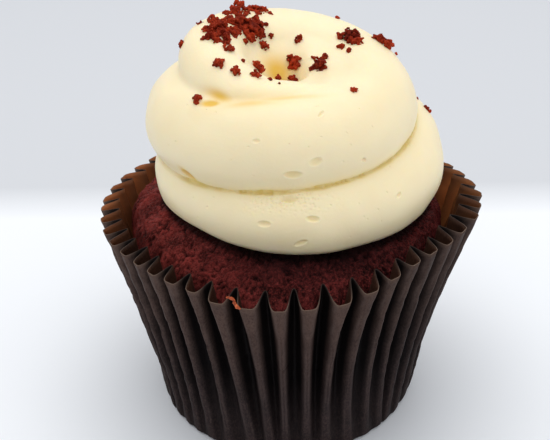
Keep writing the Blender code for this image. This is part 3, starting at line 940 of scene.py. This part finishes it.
def coil_gaps(points):
    """Turn at each step along the rope, and each point's distance from the rope there."""
    turns, centres, radius = coil_line(FOLD_STEPS_PER_TURN)
    gaps = [np.linalg.norm(points - centre, axis=1) - reach for centre, reach in zip(centres, radius)]
    return turns, np.stack(gaps, 1)


def rope_mesh():
    _, centres, radius = coil_line(SWIRL_STEPS_PER_TURN)
    curve = bpy.data.curves.new("rope", "CURVE")
    curve.dimensions = "3D"
    curve.bevel_depth = MM
    curve.bevel_resolution = ROPE_SIDES // 2 - 2
    curve.use_fill_caps = True
    line = curve.splines.new("POLY")
    line.points.add(len(centres) - 1)
    for point, centre, reach in zip(line.points, centres.tolist(), radius.tolist()):
        point.co = (*centre, 1.0)
        point.radius = reach / MM
    rope = linked("rope", curve)
    mesh = evaluated_mesh(rope)
    bpy.data.objects.remove(rope)
    return mesh


def filling_mesh():
    """What fills the coils: a foot, a lip, and slopes down to the hollow."""
    angles = np.arange(FILLING_COLUMNS) * math.tau / FILLING_COLUMNS
    degrees = [row[0] for row in SLOPES] + [360]
    far, far_height, reach, height, power = (
        np.interp(np.degrees(angles), degrees, [row[k] for row in SLOPES] + [SLOPES[0][k]])
        for k in (1, 2, 3, 4, 5)
    )

    def ring(radius, level):
        right = HOLLOW[0] + radius * np.sin(angles)
        back = HOLLOW[1] - radius * np.cos(angles)
        return np.stack([right, back, level + 0 * angles], 1)

    rows = [ring(radius, level) for radius, level in FILLING_FOOT]
    rows.append(ring(far, far_height))
    for share in np.linspace(1.0, 0.04, FILLING_RINGS):
        rise = np.clip(share - HOLLOW_BREADTH / reach, 0.0, 1.0) ** power
        rows.append(ring(share * reach, HOLLOW[2] + (height - HOLLOW[2]) * rise))
    points = np.concatenate(rows) * MM
    faces = grid_faces(len(rows), FILLING_COLUMNS)
    faces.append(tuple(reversed(range(FILLING_COLUMNS))))
    faces.append(tuple(range((len(rows) - 1) * FILLING_COLUMNS, len(rows) * FILLING_COLUMNS)))
    mesh = bpy.data.meshes.new("filling")
    mesh.from_pydata(points.tolist(), [], faces)
    return mesh


def swirl_mesh():
    """The rope and its filling as overlapping closed bodies in one mesh."""
    shape = bmesh.new()
    shape.from_mesh(rope_mesh())
    shape.from_mesh(filling_mesh())
    bmesh.ops.remove_doubles(shape, verts=shape.verts, dist=0.01 * MM)
    mesh = bpy.data.meshes.new("swirl")
    shape.to_mesh(mesh)
    shape.free()
    return mesh


def seat_on_dome(points):
    """Lift what is below the cake's dome onto it, with a soft lower edge."""
    reach = np.hypot(points[:, 0] - RIM_SHIFT[0], points[:, 1] - RIM_SHIFT[1])
    dome = dome_height(reach) + GAP
    above = points[:, 2] - dome
    lifted = 0.5 * (above + np.sqrt(above ** 2 + 4 * SEAT_SOFTNESS ** 2))
    points[:, 2] = dome + lifted - 0.2 * SEAT_SOFTNESS
    low = np.clip(1.0 - (points[:, 2] - dome) / UNDERCUT_HEIGHT, 0.0, 1.0)
    inward = np.array(SWIRL_CENTRE.xy) - points[:, :2]
    inward /= np.maximum(np.linalg.norm(inward, axis=1), 0.001)[:, None]
    points[:, :2] += inward * (UNDERCUT_DEPTH * low ** 2)[:, None]
    return points


def build_frosting():
    item = linked("frosting_swirl", swirl_mesh())
    one_skin(item, FROSTING_VOXEL)
    mesh = item.data
    edges = edges_of(mesh)
    points = smoothed(points_of(mesh), edges, FROSTING_SMOOTHING)
    set_points(mesh, points)
    wobble = fractal(points, 9.0 * MM, 2, 2.0) * 0.22 * MM
    points = seat_on_dome(points + normals_of(mesh) * wobble[:, None])
    set_points(mesh, soften_inside(points, edges))
    fold_coils(mesh)
    carve_pits(item)
    fewer = item.modifiers.new("fewer", "DECIMATE")
    fewer.ratio = FROSTING_KEPT
    apply_modifiers(item)
    dress(item.data, icing())
    return item


def fold_coils(mesh):
    """A narrow groove where one coil lies on the next, marked for its painted shade."""
    points = points_of(mesh)
    turns, away = coil_gaps(points)
    own = turns[np.argmin(away, 1)]
    away = np.where(np.abs(turns[None, :] - own[:, None]) > 0.5, away, 1.0)
    other = turns[np.argmin(away, 1)]
    gap = np.maximum(away.min(1), 0.0)
    folded = np.maximum(own, other) <= FOLD_END
    full = np.clip((points[:, 0] / MM - PALE_LEFT_OF) / PALE_BLEND + 1.0, 0.0, 1.0)
    soft = np.exp(-(gap / FOLD_SHADE) ** 2)
    sharp = np.exp(-(np.maximum(gap - FOLD_FLAT, 0.0) / FOLD_WIDTH) ** 2)
    set_points(mesh, points - normals_of(mesh) * (FOLD_DEPTH * sharp * folded)[:, None])
    # Painted shade along the fold, paler to the left
    tint = (0.25 + 0.75 * full) * (0.26 * soft + 0.90 * sharp) * folded
    tint = smoothed(tint[:, None], edges_of(mesh), 3)[:, 0]
    float_attribute(mesh, "crease", np.clip(tint, 0.0, 1.0))


def soften_inside(points, edges):
    """Blend the slopes inside the coils into one smooth bowl."""
    reach = np.hypot(points[:, 0] / MM - HOLLOW[0], points[:, 1] / MM - HOLLOW[1])
    inside = np.clip((BOWL_REACH - reach) / BOWL_REACH_BLEND, 0.0, 1.0)
    above = np.clip((points[:, 2] / MM - BOWL_HEIGHT) / BOWL_HEIGHT_BLEND, 0.0, 1.0)
    return points + (smoothed(points, edges, BOWL_SMOOTHING) - points) * (inside * above)[:, None]


def sight(across, down):
    """Direction from the viewpoint through a pixel of the photograph."""
    ray = Vector((across - VIEW_WIDTH / 2, VIEW_HEIGHT / 2 - down, -VIEW_LENGTH))
    return (VIEW_TURN.to_matrix() @ ray).normalized()


def sight_point(surface, across, down):
    """Where a pixel meets a surface, or the nearest place towards the swirl's middle that does."""
    for step in range(SIGHT_STEPS):
        share = step / SIGHT_STEPS
        x = across + share * (SWIRL_MIDDLE[0] - across)
        y = down + share * (SWIRL_MIDDLE[1] - down)
        place, normal, _, _ = surface.ray_cast(VIEWPOINT, sight(x, y))
        if place is not None:
            return place, normal
    return None, None


def pit_frames(surface, rows):
    """Place, normal, length direction, half length, half width and depth of each pit."""
    frames = []
    for across, down, length, width, turn, depth in rows:
        place, normal = sight_point(surface, across, down)
        size = (place - VIEWPOINT).length / VIEW_LENGTH / 2
        along = Vector((math.cos(math.radians(turn)), -math.sin(math.radians(turn)), 0.0))
        side = VIEW_TURN.to_matrix() @ along
        side = (side - normal * side.dot(normal)).normalized()
        frames.append((place, normal, side, length * size, width * size, depth * MM))
    return frames


def scattered_bubbles():
    """Rows like those of PITS for tiny bubbles on the lower two coils."""
    rng = random.Random(BUBBLE_SEED)
    rows = []
    for _ in range(BUBBLES):
        across, down = rng.uniform(150, 440), rng.uniform(105, 240)
        rows.append((across, down, rng.uniform(2.0, 4.0), rng.uniform(1.5, 2.5), rng.uniform(-30, 30), 0.10))
    return rows


def finer_near(mesh, frames):
    """Split the edges near the pits into thirds."""
    edges = edges_of(mesh)
    points = points_of(mesh)
    middles = points[edges].mean(1)
    near = np.zeros(len(edges), bool)
    for place, _, _, length, _, _ in frames:
        near |= np.linalg.norm(middles - np.array(place), axis=1) < 1.4 * length + 0.4 * MM
    shape = bmesh.new()
    shape.from_mesh(mesh)
    shape.edges.ensure_lookup_table()
    chosen = [shape.edges[i] for i in np.flatnonzero(near)]
    bmesh.ops.subdivide_edges(shape, edges=chosen, cuts=2, use_grid_fill=True, smooth=0.0)
    bmesh.ops.triangulate(shape, faces=[f for f in shape.faces if len(f.verts) > 4])
    shape.to_mesh(mesh)
    shape.free()


def pit_distance(points, frame):
    """Distance from a pit's middle in half lengths and widths, and which points lie near it."""
    place, normal, side, length, width, _ = frame
    offset = points - np.array(place)
    away = np.hypot(offset @ np.array(side) / length, offset @ np.array(normal.cross(side)) / width)
    return away, (np.abs(offset @ np.array(normal)) < PIT_REACH_IN) & (away < PIT_REACH_OUT)


def carve_bubbles(points, frames, crease):
    """Sink burst bubbles with a raised lip into the points; give them painted shade."""
    for frame in frames:
        away, near = pit_distance(points, frame)
        dent = np.where(near, np.clip(1.0 - away ** 2.5, 0.0, 1.0) ** 1.3, 0.0)
        lip = np.where(near, np.exp(-((away - 1.12) / 0.20) ** 2) * 0.05, 0.0)
        points += (frame[5] * (lip - dent))[:, None] * np.array(frame[1])
        crease = np.maximum(crease, dent ** 0.6 * (frame[5] / MM) ** 1.5)
    return crease


def sink_pockets(points, frames):
    """Sink soft hollows into the points; give the depth of their painted shade."""
    pocket = np.zeros(len(points))
    for frame, tint in zip(frames, POCKET_TINTS):
        away, near = pit_distance(points, frame)
        dent = np.where(near, np.exp(-1.5 * away ** 2), 0.0)
        points -= (frame[5] * dent)[:, None] * np.array(frame[1])
        pocket = np.maximum(pocket, dent * tint)
    return pocket


def sink_froth(points, frame):
    """Sink a patch of fine cells into the points."""
    away, near = pit_distance(points, frame)
    dent = np.clip(0.55 - cells(points[near], 0.60 * MM, 3.0), 0.0, 0.5) * 2.0
    dent *= np.exp(-1.5 * away[near] ** 2)
    points[near] -= (frame[5] * dent)[:, None] * np.array(frame[1])


def carve_pits(item):
    """Burst air bubbles and soft hollows, in a locally finer mesh."""
    mesh = item.data
    surface = BVHTree.FromObject(item, bpy.context.evaluated_depsgraph_get())
    sharp = pit_frames(surface, PITS + tuple(scattered_bubbles()))
    soft = pit_frames(surface, POCKETS)
    froth = pit_frames(surface, [FROTH])[0]
    finer_near(mesh, sharp + [froth])
    points = points_of(mesh)
    crease = np.zeros(len(points))
    mesh.attributes["crease"].data.foreach_get("value", crease)
    crease = carve_bubbles(points, sharp, crease)
    pocket = sink_pockets(points, soft)
    sink_froth(points, froth)
    # Painted shade in the deepest part of the hollow on top
    bottom, _ = sight_point(surface, *DEEPEST[:2])
    reach = np.linalg.norm(points - np.array(bottom), axis=1) / (DEEPEST[2] * MM)
    pocket = np.clip(np.maximum(pocket, 1.1 * np.exp(-reach ** 2)), 0.0, 1.0)
    mesh.attributes["crease"].data.foreach_set("value", crease.astype(np.float32))
    float_attribute(mesh, "pocket", pocket)
    set_points(mesh, points)


def rough_skin(name, shape, voxel, size, offset, depth):
    """One closed skin around overlapping bodies, and its points roughened by noise."""
    mesh = bpy.data.meshes.new(name)
    shape.to_mesh(mesh)
    shape.free()
    item = linked(name, mesh)
    one_skin(item, voxel)
    points = points_of(item.data)
    rough = fractal(points, size, 3, offset) * depth
    return item, points + normals_of(item.data) * rough[:, None]


def crumb_clump(shape, middle, normal, breadth, rng):
    """Angular grains stuck together, wider than high."""
    grains = 7 + int(breadth / MM * 13)
    turn = normal.to_track_quat("Z", "Y").to_matrix()
    for _ in range(grains):
        radius = 0.11 * MM + breadth * rng.uniform(0.05, 0.16)
        spread = breadth * 0.70 - radius * 0.6
        direction = Vector([rng.gauss(0, 1) for _ in range(3)]).normalized()
        offset = direction * spread * rng.uniform(0.2, 1.0) ** 0.7
        offset.z *= 0.75
        squeeze = Matrix.Diagonal([rng.uniform(0.7, 1.25) for _ in range(3)])
        roll = Euler([rng.uniform(0, math.tau) for _ in range(3)]).to_matrix()
        place = Matrix.Translation(middle + turn @ offset) @ (roll @ squeeze).to_4x4()
        grown = bmesh.ops.create_icosphere(shape, subdivisions=1, radius=radius, matrix=place)
        for vert in grown["verts"]:
            vert.co += (vert.co - place.translation) * rng.uniform(-0.25, 0.3)


def crumb_middle(surface, across, down, breadth):
    """Middle of a crumb that lies on the frosting in its line of sight, and the frosting's normal."""
    place, normal = sight_point(surface, across, down)
    middle = place + normal * breadth * CRUMB_STANDOFF
    ray = sight(across, down)
    shift = VIEWPOINT + ray * ray.dot(middle - VIEWPOINT) - middle
    reach = CRUMB_MOVE * breadth
    if shift.length > reach:
        shift *= reach / shift.length
    return middle + shift, normal


def build_crumbs(frosting):
    rng = random.Random(CRUMB_SEED)
    surface = BVHTree.FromObject(frosting, bpy.context.evaluated_depsgraph_get())
    shape = bmesh.new()
    dark = []
    for across, down, breadth in CRUMBS + SMALL_CRUMBS:
        middle, normal = crumb_middle(surface, across, down + CRUMB_LOWER, breadth * MM)
        crumb_clump(shape, middle, normal, breadth * MM, rng)
        if (across, down) in DARK_CRUMBS:
            dark.append(middle)
    item, points = rough_skin("frosting_crumbs", shape, CRUMB_VOXEL, 0.45 * MM, 21.0, 0.13 * MM)
    points[:, 2] = np.minimum(points[:, 2], CAD_BOX[1][2] - TOP_CLEARANCE)
    set_points(item.data, points)
    nearest = np.min([np.linalg.norm(points - np.array(d), axis=1) for d in dark], axis=0)
    float_attribute(item.data, "dark", np.clip(1.6 - nearest / DARK_REACH, 0.0, 1.0))
    dress(item.data, loose_crumb())
    return item


def fleck_line():
    """Points of the sliver, each on its own line of sight."""
    points = []
    for across, down, front, _ in FLECK:
        ray = sight(across, down)
        points.append(VIEWPOINT + ray * ((front * MM - VIEWPOINT.y) / ray.y))
    return points


def build_fleck():
    """A curled orange sliver of cake caught in a fold at the front of the rim."""
    points = fleck_line()
    steps = len(FLECK) * 4
    shape = bmesh.new()
    for i in range(steps + 1):
        at = i / steps * (len(FLECK) - 1)
        k = min(int(at), len(FLECK) - 2)
        middle = points[k].lerp(points[k + 1], at - k)
        radius = (FLECK[k][3] + (FLECK[k + 1][3] - FLECK[k][3]) * (at - k)) * MM
        bmesh.ops.create_icosphere(shape, subdivisions=2, radius=radius, matrix=Matrix.Translation(middle))
    item, points = rough_skin("cake_fleck", shape, FLECK_VOXEL, 0.5 * MM, 51.0, 0.14 * MM)
    set_points(item.data, points)
    dress(item.data, orange_fleck())
    return item


# Stage, light and camera

def build_floor():
    far = FLOOR_HALF
    corners = [(-far, -far, 0), (far, -far, 0), (far, far, 0), (-far, far, 0)]
    mesh = bpy.data.meshes.new("floor")
    mesh.from_pydata(corners, [], [(0, 1, 2, 3)])
    mesh.materials.append(floor_colour())
    linked("floor", mesh)


def add_light(name, place, aim, size, energy, colour):
    light = bpy.data.lights.new(name, "AREA")
    light.size = size
    light.energy = energy
    light.color = colour
    item = linked(name, light)
    item.location = place
    item.rotation_euler = (Vector(aim) - Vector(place)).to_track_quat("-Z", "Y").to_euler()


def light_scene():
    world = bpy.data.worlds.new("studio")
    world.use_nodes = True
    background = world.node_tree.nodes["Background"]
    background.inputs["Color"].default_value = rgb(0.975, 0.985, 1.0)
    background.inputs["Strength"].default_value = WORLD_STRENGTH
    bpy.context.scene.world = world
    for lamp in LAMPS:
        add_light(*lamp)


def place_camera():
    data = bpy.data.cameras.new("camera")
    data.sensor_width = SENSOR
    data.lens = VIEW_LENGTH * SENSOR / VIEW_WIDTH
    data.clip_start = 0.01
    camera = linked("camera", data)
    camera.location = VIEWPOINT
    camera.rotation_euler = VIEW_TURN
    bpy.context.scene.camera = camera


def main():
    bpy.context.scene.view_settings.view_transform = "Standard"
    pleats = Pleats()
    case = build_case(pleats)
    cake = build_cake(pleats)
    frosting = build_frosting()
    crumbs = build_crumbs(frosting)
    fleck = build_fleck()
    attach(fleck, "root")
    for piece, node, slot in (
        (case, "paper_case", "paper"),
        (cake, "cake", "sponge"),
        (frosting, "frosting", "frosting"),
        (crumbs, "frosting", "crumbs"),
    ):
        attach(piece, "root")
        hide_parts(node)
    build_floor()
    light_scene()
    place_camera()


main()
